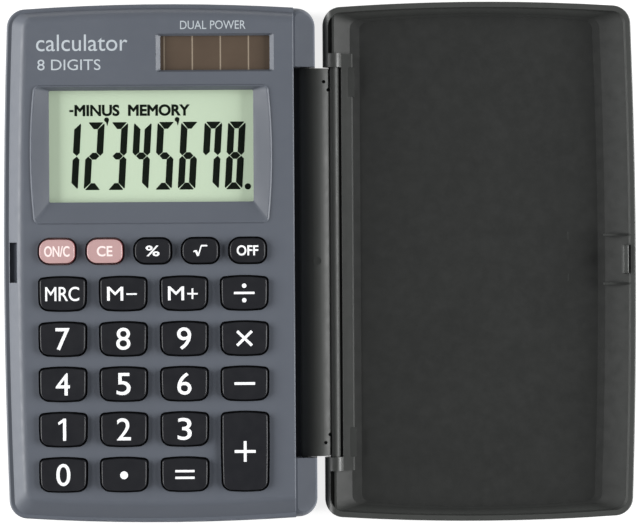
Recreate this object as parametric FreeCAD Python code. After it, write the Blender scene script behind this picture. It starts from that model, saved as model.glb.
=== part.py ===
"""Pocket calculator with a smoked folding cover, built as an assembly of separate pieces.

The calculator lies on its back with its face up and its cover laid open flat to the right.
Millimetres. +Z is up through the face, +Y runs towards the display, +X towards the cover.
The origin is the middle of the calculator's flat back.

The cover hangs on a narrow link with a hinge at each long edge. One hinge line is in the
calculator's side and the other in the cover's side, so that the cover shuts over the keys
and also folds right round against the back.
"""
import FreeCAD
import Part

import math
import os

V = FreeCAD.Vector
X_AXIS, Y_AXIS, Z_AXIS = V(1, 0, 0), V(0, 1, 0), V(0, 0, 1)

# ---- driving dimensions: the calculator's outline ----
BODY_WIDTH = 70.0
BODY_LENGTH = 116.2
END_BOW = 1.25        # how far the top and bottom edges bulge over the full width
SIDE_BOW = 1.09       # how far the long free edge bulges over the full length
CORNER_R = 4.2

LEFT, RIGHT = -BODY_WIDTH / 2, BODY_WIDTH / 2
TOP = BODY_LENGTH / 2

# ---- heights ----
FLOOR_T = 1.2         # back wall
Z_PARTING = 4.6       # seam between the two housings
Z_LEDGE = 6.9         # narrow ledge that the cover's rim meets
Z_FACE = 9.3          # the flat face
Z_CEILING = 8.0       # inside of the face
Z_KEY_TOP = 10.3
WALL = 1.5

# ---- hinge ----
PIN_INSET = 2.4       # hinge line to the outer side, on the calculator and on the cover
LINK_PITCH = 6.5      # between the two hinge lines
Z_HINGE = 3.15
LINK_HALF = 43.6      # half the link's length
NOTCH_HALF = 43.9     # half the length of the notches that it lies in
KNUCKLE_R = 1.2
PIN_R, PIN_LENGTH = 1.10, 2.3
PIN_HOLE_R, PIN_HOLE_DEPTH = 1.17, 2.6
BODY_NOTCH_DEPTH = 4.8
COVER_NOTCH_DEPTH = 4.2
LIP = 0.8             # thin edge of the cover that reaches under the link
LEDGE = 1.6           # thin edge of the back housing that reaches under the link

BODY_HINGE_X = RIGHT - PIN_INSET
COVER_HINGE_X = BODY_HINGE_X + LINK_PITCH
NOTCH_X = RIGHT - BODY_NOTCH_DEPTH

# ---- cover ----
COVER_OVERSIZE = 0.25
COVER_T = 1.3
COVER_DEPTH = 5.4
Z_COVER_SHOULDER = 2.6
COVER_LEFT = COVER_HINGE_X - PIN_INSET
COVER_RIGHT = COVER_LEFT + BODY_WIDTH + COVER_OVERSIZE
COVER_TOP = TOP + COVER_OVERSIZE
COVER_NOTCH_X = COVER_LEFT + COVER_NOTCH_DEPTH

# ---- keys ----
KEY_COLUMNS = [-21.60, -8.06, 5.50, 18.96]
KEY_ROWS = [-6.74, -16.85, -26.93, -37.02, -47.12]
SMALL_ROW_Y = 2.75
SMALL_COLUMNS = [-22.75, -12.10, -1.42, 9.20, 19.75]
KEY_GAP = 0.33        # between a key and the edge of its opening
KEY_TRAVEL = 0.8
KEY_W, KEY_H = 10.25, 7.40
SMALL_W, SMALL_H = 7.90, 5.55
FLANGE_MARGIN = 0.45  # the flange under the face, beyond the opening
Z_KEY_BASE = 7.1
FLANGE_T = 0.7
KEY_DISH = 0.14

# ---- display and solar windows ----
WINDOW = (-24.60, 21.15, 13.70, 38.70)          # left, right, bottom, top
BEZEL = (-28.30, 24.90, 9.20, 39.45)
BEZEL_BOW = 0.85
Z_WINDOW_EDGE, Z_WINDOW_SEAT = 8.15, 7.5
BEZEL_LIP = 0.3
SOLAR = (0.45, 24.90, 43.15, 50.80)
SOLAR_BEVEL = (0.95, 0.45)

# ---- circuit board ----
Z_BOARD, BOARD_T = 3.8, 0.8
Z_BOARD_TOP = Z_BOARD + BOARD_T
BOARD = (-31.4, 28.0, -54.6, 54.6)
MAT_T = 0.6

# ---- fasteners: centre points on the back ----
HOUSING_SCREWS = [(x, y) for x in (-30.1, 26.6) for y in (-53.3, 6.6, 53.4)]
COLUMN_GAPS = [(a + b) / 2 for a, b in zip(KEY_COLUMNS, KEY_COLUMNS[1:])]
ROW_GAPS = [(a + b) / 2 for a, b in zip(KEY_ROWS, KEY_ROWS[1:])]
BOARD_SCREWS = [(COLUMN_GAPS[0], ROW_GAPS[0]), (COLUMN_GAPS[2], ROW_GAPS[0]),
                (COLUMN_GAPS[0], ROW_GAPS[2]), (COLUMN_GAPS[2], ROW_GAPS[2]),
                (COLUMN_GAPS[1], ROW_GAPS[1]), (-6.0, 50.5), (-27.6, 44.0)]
SCREW_SHANK_R, SCREW_HEAD_R, SCREW_HEAD_T = 0.85, 1.5, 1.1
BOARD_SHANK_R, BOARD_HEAD_R, BOARD_HEAD_T = 0.5, 1.05, 0.6
THREAD_CLEARANCE = 0.02
Z_SCREW_SEAT = 1.5

# ---- battery ----
CELL_X, CELL_Y, CELL_R, CELL_T = 10.0, 31.0, 5.8, 3.05
DOOR = (1.5, 18.5, 18.6, 40.4)
DOOR_T = 1.05
DOOR_SCREW = (10.0, 21.2)

FREE_SHAPES = {}      # node name: shape


# ---------------------------------------------------------------- helpers
def box(x0, x1, y0, y1, z0, z1):
    """Box between two corners."""
    return Part.makeBox(x1 - x0, y1 - y0, z1 - z0, V(x0, y0, z0))


def rod(x, y, z0, z1, radius):
    """Upright cylinder."""
    return Part.makeCylinder(radius, z1 - z0, V(x, y, z0), Z_AXIS)


def rod_along_y(x, y0, y1, z, radius):
    """Cylinder that lies along Y."""
    return Part.makeCylinder(radius, y1 - y0, V(x, y0, z), Y_AXIS)


def union(first, *others):
    """Everything fused, with seams between coplanar faces removed."""
    return first.fuse(list(others)).removeSplitter()


def bowed_prism(corners, bows, radii, z0, z1):
    """Upright prism on four corners taken anticlockwise. Side i leaves corner i and bulges by bows[i]."""
    points = [V(x, y, z0) for x, y in corners]
    edges = []
    for a, b, bow in zip(points, points[1:] + points[:1], bows):
        if bow:
            run = b - a
            outward = V(run.y, -run.x, 0).normalize()
            edges.append(Part.Arc(a, (a + b) * 0.5 + outward * bow, b).toShape())
        else:
            edges.append(Part.makeLine(a, b))
    solid = Part.Face(Part.Wire(edges)).extrude(V(0, 0, z1 - z0))
    for radius in sorted({r for r in radii if r}):
        chosen = [p for p, r in zip(points, radii) if r == radius]
        uprights = [e for e in solid.Edges if is_upright_at(e, chosen)]
        solid = solid.makeFillet(radius, uprights)
    return solid


def is_upright_at(edge, points):
    """True for a vertical edge that stands on one of the points."""
    ends = [v.Point for v in edge.Vertexes]
    if len(ends) != 2 or abs(ends[0].z - ends[1].z) < 0.01:
        return False
    foot = min(ends, key=lambda p: p.z)
    return any(math.hypot(foot.x - p.x, foot.y - p.y) < 0.01 for p in points)


def rectangle(x0, x1, y0, y1):
    """Corners of a rectangle, anticlockwise from the lower left."""
    return [(x0, y0), (x1, y0), (x1, y1), (x0, y1)]


def grown(rect, dx, dy=None):
    """A left, right, bottom, top rectangle grown on each side."""
    dy = dx if dy is None else dy
    return (rect[0] - dx, rect[1] + dx, rect[2] - dy, rect[3] + dy)


def wire_at(solid, z):
    """Outer wire of the solid's flat face at height z."""
    flat = [f for f in solid.Faces if abs(f.BoundBox.ZMin - z) < 1e-4 and abs(f.BoundBox.ZMax - z) < 1e-4]
    return max(flat, key=lambda f: f.Area).OuterWire


def frustum(lower, z0, upper, z1):
    """Solid between two bowed outlines, each given as (corners, bows, radii)."""
    low = bowed_prism(*lower, z0, z0 + 1)
    high = bowed_prism(*upper, z1 - 1, z1)
    return Part.makeLoft([wire_at(low, z0), wire_at(high, z1)], True, True)


def level_edges(solid, z, accept=lambda middle: True):
    """Edges that lie wholly at height z and whose middle point is accepted."""
    found = []
    for e in solid.Edges:
        b = e.BoundBox
        if abs(b.ZMin - z) < 1e-3 and abs(b.ZMax - z) < 1e-3 and accept(b.Center):
            found.append(e)
    return found


def bent_strip(points, thickness, depth, place):
    """Sheet-metal strip: a polyline of (u, v) thickened to its left and swept by depth."""
    left = []
    for i, (u, v) in enumerate(points):
        before = points[max(i - 1, 0)]
        after = points[min(i + 1, len(points) - 1)]
        d0 = unit(u - before[0], v - before[1]) if i else None
        d1 = unit(after[0] - u, after[1] - v) if i < len(points) - 1 else d0
        d0 = d0 or d1
        n0, n1 = (-d0[1], d0[0]), (-d1[1], d1[0])
        share = thickness / (1 + n0[0] * n1[0] + n0[1] * n1[1])
        left.append((u + (n0[0] + n1[0]) * share, v + (n0[1] + n1[1]) * share))
    loop = [place(u, v) for u, v in points + left[::-1]]
    face = Part.Face(Part.makePolygon(loop + loop[:1]))
    return face.extrude(depth)


def unit(u, v):
    """Direction of (u, v)."""
    size = math.hypot(u, v)
    return (u / size, v / size)


def round_lead(points, radius, bend):
    """Wire along straight runs joined by tangent arcs of one bend radius."""
    pts = [V(*p) for p in points]
    edges, start = [], pts[0]
    for before, corner, after in zip(pts, pts[1:], pts[2:]):
        into, out = (corner - before).normalize(), (after - corner).normalize()
        turn = math.acos(max(-1.0, min(1.0, into.dot(out))))
        back = bend * math.tan(turn / 2)
        p, q = corner - into * back, corner + out * back
        middle = corner + (out - into).normalize() * (bend / math.cos(turn / 2) - bend)
        edges += [Part.makeLine(start, p), Part.Arc(p, middle, q).toShape()]
        start = q
    edges.append(Part.makeLine(start, pts[-1]))
    path = Part.Wire(edges)
    ring = Part.Wire(Part.makeCircle(radius, pts[0], (pts[1] - pts[0]).normalize()))
    return path.makePipeShell([ring], True, False)


# ---------------------------------------------------------------- outlines
def body_outline(inset=0.0):
    """The calculator's outline, drawn in by an inset all round. Its hinge side is straight."""
    left, right, top = LEFT + SIDE_BOW + inset, RIGHT - inset, TOP - END_BOW - inset
    corner = CORNER_R - inset
    return (rectangle(left, right, -top, top), [END_BOW, 0, END_BOW, SIDE_BOW], [corner] * 4)


def raised_outline(left, top, bottom, corner):
    """Outline of the raised face, which ends square at the hinge notch."""
    return ([(left + SIDE_BOW, bottom), (NOTCH_X, bottom), (NOTCH_X, top), (left + SIDE_BOW, top)],
            [END_BOW * 0.9, 0, END_BOW * 0.9, SIDE_BOW], [corner, 0, 0, corner])


def key_outline(width, height, small):
    """A key's outline about (0, 0): softly bowed ends, and rounder corners at the bottom."""
    if small:
        return (rectangle(-width / 2, width / 2, -height / 2 + 0.06, height / 2 - 0.06),
                [0.06, 0.12, 0.06, 0.12], [2.35, 1.95, 1.95, 2.35][::-1])
    bow_top, bow_bottom, taper = 0.42, 0.34, 0.16
    corners = [(-width / 2 + taper, -height / 2 + bow_bottom), (width / 2 - taper, -height / 2 + bow_bottom),
               (width / 2, height / 2 - bow_top), (-width / 2, height / 2 - bow_top)]
    return (corners, [bow_bottom, 0.10, bow_top, 0.10], [1.95, 1.95, 0.85, 0.85])


def key_places():
    """Name, centre, width, height and whether small, for every key."""
    small = ["key_on_clear", "key_clear_entry", "key_percent", "key_root", "key_off"]
    grid = [["key_memory_recall", "key_memory_minus", "key_memory_plus", "key_divide"],
            ["key_7", "key_8", "key_9", "key_times"],
            ["key_4", "key_5", "key_6", "key_minus"],
            ["key_1", "key_2", "key_3", None],
            ["key_0", "key_point", "key_equals", None]]
    places = [(name, x, SMALL_ROW_Y, SMALL_W, SMALL_H, True) for name, x in zip(small, SMALL_COLUMNS)]
    for names, y in zip(grid, KEY_ROWS):
        places += [(name, x, y, KEY_W, KEY_H, False) for name, x in zip(names, KEY_COLUMNS) if name]
    tall = KEY_H + KEY_ROWS[3] - KEY_ROWS[4]
    places.append(("key_plus", KEY_COLUMNS[3], (KEY_ROWS[3] + KEY_ROWS[4]) / 2, KEY_W, tall, False))
    return places


def key_prism(width, height, small, margin, z0, z1):
    """A key-shaped prism about (0, 0), grown by a margin all round."""
    corners, bows, radii = key_outline(width, height, small)
    grown_corners = [(x + math.copysign(1, x) * margin, y + math.copysign(1, y) * margin) for x, y in corners]
    return bowed_prism(grown_corners, bows, [max(r + margin, 0.3) for r in radii], z0, z1)


# ---------------------------------------------------------------- housings
def notch_box():
    """The gap in the calculator's hinge side that the link swings in."""
    return box(NOTCH_X, RIGHT + 1, -NOTCH_HALF, NOTCH_HALF, -1, Z_FACE + 2)


def upper_ears():
    """The upper half of the two hinge ears, rounded over towards the hinge side."""
    radius = 2.2
    block = bowed_prism(*body_outline(), Z_PARTING, Z_LEDGE)
    slope = [V(NOTCH_X + 0.4, -TOP - 1, Z_LEDGE), V(RIGHT + 1, -TOP - 1, Z_LEDGE - 1.3),
             V(RIGHT + 1, -TOP - 1, Z_LEDGE + 1), V(NOTCH_X + 0.4, -TOP - 1, Z_LEDGE + 1)]
    above_slope = Part.Face(Part.makePolygon(slope + slope[:1])).extrude(V(0, 2 * TOP + 2, 0))
    ears = []
    for low, high in ((NOTCH_HALF, TOP + 1), (-TOP - 1, -NOTCH_HALF)):
        ear = block.common(box(NOTCH_X - 0.01, RIGHT + 1, low, high, 0, Z_FACE))
        outer = level_edges(ear, Z_LEDGE, lambda m: m.x > NOTCH_X + 0.05 and abs(m.y) > NOTCH_HALF + 0.05)
        ears.append(ear.makeFillet(radius, outer).cut(above_slope))
    return ears


def bezel_outline(grow):
    """The display frame's outline, with bowed sides, grown outwards."""
    x0, x1, y0, y1 = grown(BEZEL, grow)
    return (rectangle(x0 + BEZEL_BOW, x1 - BEZEL_BOW, y0, y1), [0, BEZEL_BOW, 0, BEZEL_BOW], [1.1 + grow] * 4)


def upper_housing():
    """Front housing: face, shoulders, windows, key openings and screw bosses."""
    wall = bowed_prism(*body_outline(), Z_PARTING, Z_LEDGE)
    wall = wall.makeFillet(0.5, level_edges(wall, Z_LEDGE))
    wall = wall.makeChamfer(0.18, level_edges(wall, Z_PARTING))
    wall = wall.common(box(LEFT - 1, NOTCH_X + 0.01, -TOP - 1, TOP + 1, 0, Z_FACE))
    plateau = frustum(raised_outline(LEFT + 1.15, 56.0, -56.0, 3.2), Z_LEDGE - 0.02,
                      raised_outline(LEFT + 4.0, 54.7, -52.7, 2.6), Z_FACE)
    shoulder = level_edges(plateau, Z_FACE, lambda m: m.x < NOTCH_X - 0.05)
    plateau = plateau.makeFillet(2.2, shoulder)
    plateau = plateau.makeFillet(0.25, level_edges(plateau, Z_FACE, lambda m: m.x > NOTCH_X - 0.05))
    shell = union(wall, plateau, *upper_ears())
    bosses = [rod(x, y, Z_PARTING, Z_CEILING + 0.1, 1.9).common(shell) for x, y in HOUSING_SCREWS]
    bosses += [rod(x, y, Z_BOARD, Z_PARTING + 0.1, 1.9) for x, y in HOUSING_SCREWS]

    cavity = frustum((rectangle(LEFT + 1.6 + SIDE_BOW, NOTCH_X - WALL, -56.2 + END_BOW, 56.2 - END_BOW),
                      [END_BOW, 0, END_BOW, SIDE_BOW], [2.6, 1.0, 1.0, 2.6]), Z_PARTING - 0.01,
                     (rectangle(LEFT + 5.0 + SIDE_BOW, NOTCH_X - WALL, -52.8 + END_BOW, 54.0 - END_BOW),
                      [END_BOW, 0, END_BOW, SIDE_BOW], [1.6, 1.0, 1.0, 1.6]), Z_CEILING)
    shell = shell.cut([notch_box(), cavity])

    pad = bowed_prism(rectangle(*grown(WINDOW, 3.0)), [0] * 4, [1.0] * 4, Z_WINDOW_SEAT, Z_CEILING + 0.3)
    lip = frustum(bezel_outline(0.5), Z_FACE - 0.05, bezel_outline(0.14), Z_FACE + BEZEL_LIP)
    bosses += [rod(x, y, Z_BOARD_TOP, Z_CEILING + 0.1, 1.1) for x, y in BOARD_SCREWS]
    shell = shell.fuse([pad, lip] + bosses)

    funnel = frustum((rectangle(*WINDOW), [0] * 4, [0.35] * 4), Z_WINDOW_EDGE,
                     bezel_outline(0.0), Z_FACE + BEZEL_LIP + 0.001)
    window = bowed_prism(rectangle(*WINDOW), [0] * 4, [0.35] * 4, Z_WINDOW_SEAT - 1, Z_WINDOW_EDGE + 0.01)
    solar_edge = frustum((rectangle(*SOLAR), [0] * 4, [0.3] * 4), Z_FACE - 0.85,
                         (rectangle(*grown(SOLAR, *SOLAR_BEVEL)), [0] * 4, [0.5] * 4), Z_FACE + 0.001)
    solar = bowed_prism(rectangle(*SOLAR), [0] * 4, [0.3] * 4, Z_CEILING - 1, Z_FACE)
    tools = [funnel, window, solar_edge, solar, latch_pocket()]
    for _, x, y, width, height, small in key_places():
        opening = key_prism(width, height, small, KEY_GAP, Z_CEILING - 1, Z_FACE + 1)
        opening.translate(V(x, y, 0))
        tools.append(opening)
    tools += [rod(x, y, Z_BOARD - 1, Z_LEDGE, SCREW_SHANK_R + THREAD_CLEARANCE) for x, y in HOUSING_SCREWS]
    tools += [rod(x, y, Z_BOARD, Z_LEDGE, BOARD_SHANK_R + THREAD_CLEARANCE) for x, y in BOARD_SCREWS]
    return shell.cut(tools).removeSplitter()


LATCH_Y, LATCH_POCKET_HALF = 0.3, 4.5


def latch_pocket():
    """The slot in the free shoulder that the cover's catch drops into."""
    return box(LEFT + 1.35, LEFT + 3.15, LATCH_Y - LATCH_POCKET_HALF, LATCH_Y + LATCH_POCKET_HALF,
               Z_LEDGE - 0.55, Z_FACE + 1)


def lower_housing():
    """Back housing: floor, walls, hinge ears with their pin holes, battery well and screw pillars."""
    shell = bowed_prism(*body_outline(), 0, Z_PARTING)
    shell = shell.makeFillet(1.3, level_edges(shell, 0))
    shell = shell.makeChamfer(0.18, level_edges(shell, Z_PARTING))
    inside_y = TOP - WALL - END_BOW
    cavity = bowed_prism(rectangle(LEFT + WALL + SIDE_BOW, NOTCH_X - WALL, -inside_y, inside_y),
                         [END_BOW, 0, END_BOW, SIDE_BOW], [2.7, 1.0, 1.0, 2.7], FLOOR_T, Z_PARTING + 1)
    shell = shell.cut([notch_box(), cavity])
    shell = shell.fuse(box(NOTCH_X - 0.5, NOTCH_X + LEDGE, -NOTCH_HALF - 0.2, NOTCH_HALF + 0.2, 0, 0.8))

    pillars = [rod(x, y, FLOOR_T - 0.2, Z_BOARD - 0.05, 2.7) for x, y in HOUSING_SCREWS]
    frame = box(*grown(DOOR, 1.6), FLOOR_T - 0.15, DOOR_T + 0.85)
    door_boss = rod(*DOOR_SCREW, FLOOR_T, Z_BOARD - 0.4, 1.9)
    shell = shell.fuse(pillars + [frame, door_boss])

    well = box(DOOR[0] + 1.0, DOOR[1] - 1.0, DOOR_SCREW[1] + 3.0, DOOR[3] - 1.0, -1, Z_PARTING)
    recess = bowed_prism(rectangle(*grown(DOOR, 0.15)), [0] * 4, [0.8] * 4, -1, DOOR_T + 0.05)
    tools = [well, recess, label_recess()]
    tools += [box(x - 1.65, x + 1.65, DOOR[3] - 1, DOOR[3] + 1.2, DOOR_T - 0.1, DOOR_T + 0.7)
              for x in door_tabs()]
    tools += [rod(x, y, -1, Z_SCREW_SEAT, SCREW_HEAD_R + 0.3) for x, y in HOUSING_SCREWS]
    tools += [rod(x, y, -1, Z_BOARD + 1, SCREW_SHANK_R + 0.15) for x, y in HOUSING_SCREWS]
    tools.append(rod(*DOOR_SCREW, DOOR_T, Z_BOARD - 1.1, SCREW_SHANK_R + THREAD_CLEARANCE))
    for side in (-1, 1):
        y0, y1 = sorted((side * (NOTCH_HALF - 0.1), side * (NOTCH_HALF + PIN_HOLE_DEPTH)))
        tools.append(rod_along_y(BODY_HINGE_X, y0, y1, Z_HINGE, PIN_HOLE_R))
        y0, y1 = sorted((side * (NOTCH_HALF + 5.0), side * (TOP - 4.2)))
        tools.append(box(NOTCH_X, RIGHT - 1.5, y0, y1, FLOOR_T + 0.3, Z_PARTING + 1))
    return shell.cut(tools).removeSplitter()


def label_recess():
    """Shallow panel sunk into the back."""
    return bowed_prism(rectangle(-24, 20, -44, -22), [0] * 4, [1.5] * 4, -1, 0.2)


def door_tabs():
    """Where the battery door's two tabs are, along X."""
    return (DOOR[0] + 4.0, DOOR[1] - 4.0)


def battery_door():
    """Flush door over the battery, with two tabs at its top edge and a countersunk screw hole."""
    plate = bowed_prism(rectangle(*DOOR), [0] * 4, [0.65] * 4, 0.03, DOOR_T)
    plate = plate.makeChamfer(0.15, level_edges(plate, 0.03))
    tabs = [box(x - 1.5, x + 1.5, DOOR[3] - 2.0, DOOR[3] + 1.0, DOOR_T - 0.05, DOOR_T + 0.55)
            for x in door_tabs()]
    seat = Part.makeCone(SCREW_HEAD_R + 0.15, SCREW_SHANK_R + 0.1, 0.7, V(*DOOR_SCREW, 0.03))
    hole = rod(*DOOR_SCREW, -1, 2, SCREW_SHANK_R + 0.1)
    slots = [box(CELL_X - 4, CELL_X + 4, y - 0.35, y + 0.35, -1, 0.33) for y in (36.4, 37.9, 39.4)]
    return union(plate, *tabs).cut([seat, hole] + slots)


# ---------------------------------------------------------------- keys and switches
def key(width, height, small):
    """One moulded key about (0, 0): drafted cap with a dished top, flange, and a post for its dome."""
    draft = 0.12
    corners, bows, radii = key_outline(width, height, small)
    narrowed = [(x - math.copysign(draft, x), y - math.copysign(draft, y)) for x, y in corners]
    cap = frustum((corners, bows, radii), Z_KEY_BASE, (narrowed, bows, [r - draft for r in radii]), Z_KEY_TOP)
    dish_r = (width / 2) ** 2 / (2 * KEY_DISH)
    dish = Part.makeCylinder(dish_r, height * 3, V(0, -height * 1.5, Z_KEY_TOP - KEY_DISH + dish_r), Y_AXIS)
    cap = cap.makeFillet(0.34, level_edges(cap, Z_KEY_TOP)).cut(dish)
    flange = key_prism(width, height, small, KEY_GAP + FLANGE_MARGIN, Z_KEY_BASE, Z_KEY_BASE + FLANGE_T)
    hollow = key_prism(width, height, small, -1.15, Z_KEY_BASE - 1, Z_FACE - 0.3)
    post = rod(0, 0, Z_KEY_BASE, Z_FACE, 1.5)
    return union(cap, flange).cut(hollow).fuse(post).removeSplitter()


def make_keys():
    """Every key in its place."""
    shapes = {}
    for name, x, y, width, height, small in key_places():
        size = (width, height, small)
        if size not in shapes:
            shapes[size] = key(*size)
        placed = shapes[size].copy()
        placed.translate(V(x, y, 0))
        FREE_SHAPES[name] = placed


def dome_mat():
    """Rubber mat with a hollow dome under each key and holes for the board bosses."""
    sheet = bowed_prism(rectangle(-27.9, 24.7, -52.2, 6.9), [0] * 4, [1.5] * 4,
                        Z_BOARD_TOP, Z_BOARD_TOP + MAT_T)
    dome_foot = Z_BOARD_TOP + MAT_T - 0.1
    domes = [Part.makeCone(2.9, 1.5, Z_KEY_BASE - dome_foot, V(x, y, dome_foot))
             for _, x, y, *_ in key_places()]
    hollows = [Part.makeCone(2.3, 1.3, 1.2, V(x, y, Z_BOARD_TOP)) for _, x, y, *_ in key_places()]
    holes = [rod(x, y, Z_BOARD, Z_KEY_BASE, 1.35) for x, y in BOARD_SCREWS if y < 7]
    return sheet.fuse(domes).cut(hollows + holes).removeSplitter()


def carbon_pills():
    """The conductive pill in each dome."""
    return Part.makeCompound([rod(x, y, Z_BOARD_TOP + KEY_TRAVEL, Z_BOARD_TOP + 1.2, 1.2)
                              for _, x, y, *_ in key_places()])


# ---------------------------------------------------------------- board and electronics
CAPACITOR_X, CAPACITOR_Y, CAPACITOR_R, CAPACITOR_LENGTH = -18.5, 48.5, 2.0, 6.0


def circuit_board():
    """Board with holes for the bosses and cut-outs for the cell and the capacitor."""
    board = bowed_prism(rectangle(*BOARD), [0] * 4, [1.2] * 4, Z_BOARD, Z_BOARD_TOP)
    tools = [rod(x, y, 0, Z_FACE, 2.15) for x, y in HOUSING_SCREWS]
    tools += [rod(x, y, 0, Z_FACE, BOARD_SHANK_R + 0.1) for x, y in BOARD_SCREWS]
    tools.append(rod(CELL_X, CELL_Y, 0, Z_FACE, CELL_R + 0.2))
    half = CAPACITOR_LENGTH / 2 + 0.4
    tools.append(box(CAPACITOR_X - half, CAPACITOR_X + half, CAPACITOR_Y - 2.2, CAPACITOR_Y + 2.2, 0, Z_FACE))
    return board.cut(tools)


def chip_globtop():
    """Epoxy blob over the calculator chip, on the back of the board."""
    ball_r, height = 12.0, 1.3
    ball = Part.makeSphere(ball_r, V(-8.2, -22.0, Z_BOARD - height + ball_r))
    return ball.common(box(-20, 4, -34, -10, 0, Z_BOARD))


def electrolytic_capacitor():
    """Small can lying in the board's cut-out, with its two leads."""
    z = Z_BOARD_TOP + 0.4
    can_start = V(CAPACITOR_X - CAPACITOR_LENGTH / 2, CAPACITOR_Y, z)
    can = Part.makeCylinder(CAPACITOR_R, CAPACITOR_LENGTH, can_start, X_AXIS)
    can = can.makeFillet(0.3, [e for e in can.Edges if e.BoundBox.XLength < 0.01])
    lead_x = CAPACITOR_X + CAPACITOR_LENGTH / 2 - 0.2
    leads = [Part.makeCylinder(0.22, 2.4, V(lead_x, CAPACITOR_Y + dy, Z_BOARD_TOP + 0.22), X_AXIS)
             for dy in (-0.9, 0.9)]
    return can.fuse(leads)


def chips(places, length, width, height):
    """Flat chip parts soldered on the back of the board."""
    return Part.makeCompound([box(x - length / 2, x + length / 2, y - width / 2, y + width / 2,
                                  Z_BOARD - height, Z_BOARD) for x, y in places])


def steering_diodes():
    """Two glass diodes on the back of the board."""
    radius, length = 0.75, 3.5
    return Part.makeCompound([Part.makeCylinder(radius, length, V(x, 46.5, Z_BOARD - radius), X_AXIS)
                              for x in (-2.0, 4.0)])


def solar_panel():
    """Glass solar panel under the small window."""
    return bowed_prism(rectangle(*grown(SOLAR, 0.8)), [0] * 4, [0.3] * 4, Z_CEILING - 1.1, Z_CEILING)


def solar_lead(y):
    """Lead from the panel's back, down to the board beside it."""
    z_panel, z_run, x_panel, x_board = Z_CEILING - 1.1, Z_BOARD_TOP + 1.1, 2.2, -2.6
    return round_lead([(x_panel, y, z_panel), (x_panel, y, z_run),
                       (x_board, y, z_run), (x_board, y, Z_BOARD_TOP)],
                      0.33, 0.7)


# ---------------------------------------------------------------- display
Z_LENS_TOP, LENS_T = 7.4, 0.8
Z_POLARISER, POLARISER_T = 6.35, 0.2
GLASS_T = 0.55
Z_FRONT_GLASS = Z_POLARISER - GLASS_T
Z_REAR_GLASS = Z_FRONT_GLASS - GLASS_T
DISPLAY = grown(WINDOW, 1.0)
DISPLAY_LEDGE = 2.4   # the front glass runs on past the rear glass, where the ribbon is bonded


def display_layers():
    """The clear window, its adhesive frame, and the display's glass and films."""
    left, right, bottom, top = DISPLAY
    lens = bowed_prism(rectangle(*grown(WINDOW, 1.7)), [0] * 4, [0.6] * 4, Z_LENS_TOP - LENS_T, Z_LENS_TOP)
    frame = bowed_prism(rectangle(*grown(WINDOW, 1.7)), [0] * 4, [0.6] * 4, Z_LENS_TOP, Z_WINDOW_SEAT)
    hole = bowed_prism(rectangle(*grown(WINDOW, 0.2)), [0] * 4, [0.4] * 4, Z_LENS_TOP - 1, Z_WINDOW_SEAT + 1)
    FREE_SHAPES["display_window"] = lens
    FREE_SHAPES["window_adhesive"] = frame.cut(hole)
    FREE_SHAPES["front_polariser"] = box(left + 0.3, right - 0.3, bottom + 0.3, top - 0.3,
                                         Z_POLARISER, Z_POLARISER + POLARISER_T)
    FREE_SHAPES["front_display_glass"] = box(left, right, bottom - DISPLAY_LEDGE, top,
                                             Z_FRONT_GLASS, Z_POLARISER)
    FREE_SHAPES["rear_display_glass"] = box(left, right, bottom, top, Z_REAR_GLASS, Z_FRONT_GLASS)
    FREE_SHAPES["rear_reflector"] = box(left + 0.3, right - 0.3, bottom + 0.3, top - 0.3,
                                        Z_REAR_GLASS - POLARISER_T, Z_REAR_GLASS)


def display_ribbon():
    """Printed film bonded under the front glass and down to the board."""
    bottom, film = DISPLAY[2], 0.12
    profile = [(bottom - 0.3, Z_FRONT_GLASS - film), (bottom - DISPLAY_LEDGE, Z_FRONT_GLASS - film),
               (bottom - DISPLAY_LEDGE - 1.1, Z_BOARD_TOP), (bottom - DISPLAY_LEDGE - 2.6, Z_BOARD_TOP)]
    return bent_strip(profile[::-1], film, V(36, 0, 0), lambda u, v: V(-20, u, v))


# ---------------------------------------------------------------- battery
def button_cell():
    """Button cell with a raised cap on its inner side."""
    can = rod(CELL_X, CELL_Y, DOOR_T + 0.1, DOOR_T + 0.1 + CELL_T - 0.35, CELL_R)
    can = can.makeFillet(0.35, can.Edges[:1] + can.Edges[2:])
    cap = rod(CELL_X, CELL_Y, DOOR_T + 0.2, DOOR_T + 0.1 + CELL_T, CELL_R - 1.0)
    return union(can, cap)


def battery_contacts():
    """Inner leaf on the cell's cap, and the side leaf on its can."""
    cap_z, leaf = DOOR_T + 0.1 + CELL_T, 0.18
    inner = [(CELL_Y - 2.5, cap_z + 0.02), (CELL_Y + 1.5, cap_z + 0.02), (CELL_Y + 5.6, Z_BOARD_TOP + 0.01),
             (CELL_Y + 8.0, Z_BOARD_TOP + 0.01)]
    FREE_SHAPES["battery_contact_inner"] = bent_strip(inner, leaf, V(-3.5, 0, 0),
                                                      lambda u, v: V(CELL_X + 1.75, u, v))
    side_x = CELL_X + CELL_R + 0.03
    side = [(side_x + 2.2, Z_BOARD - 0.01), (side_x, Z_BOARD - 0.01), (side_x, DOOR_T + 1.0)]
    FREE_SHAPES["battery_contact_side"] = bent_strip(side, leaf, V(0, 3, 0),
                                                     lambda u, v: V(u, CELL_Y - 1.5, v))


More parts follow.
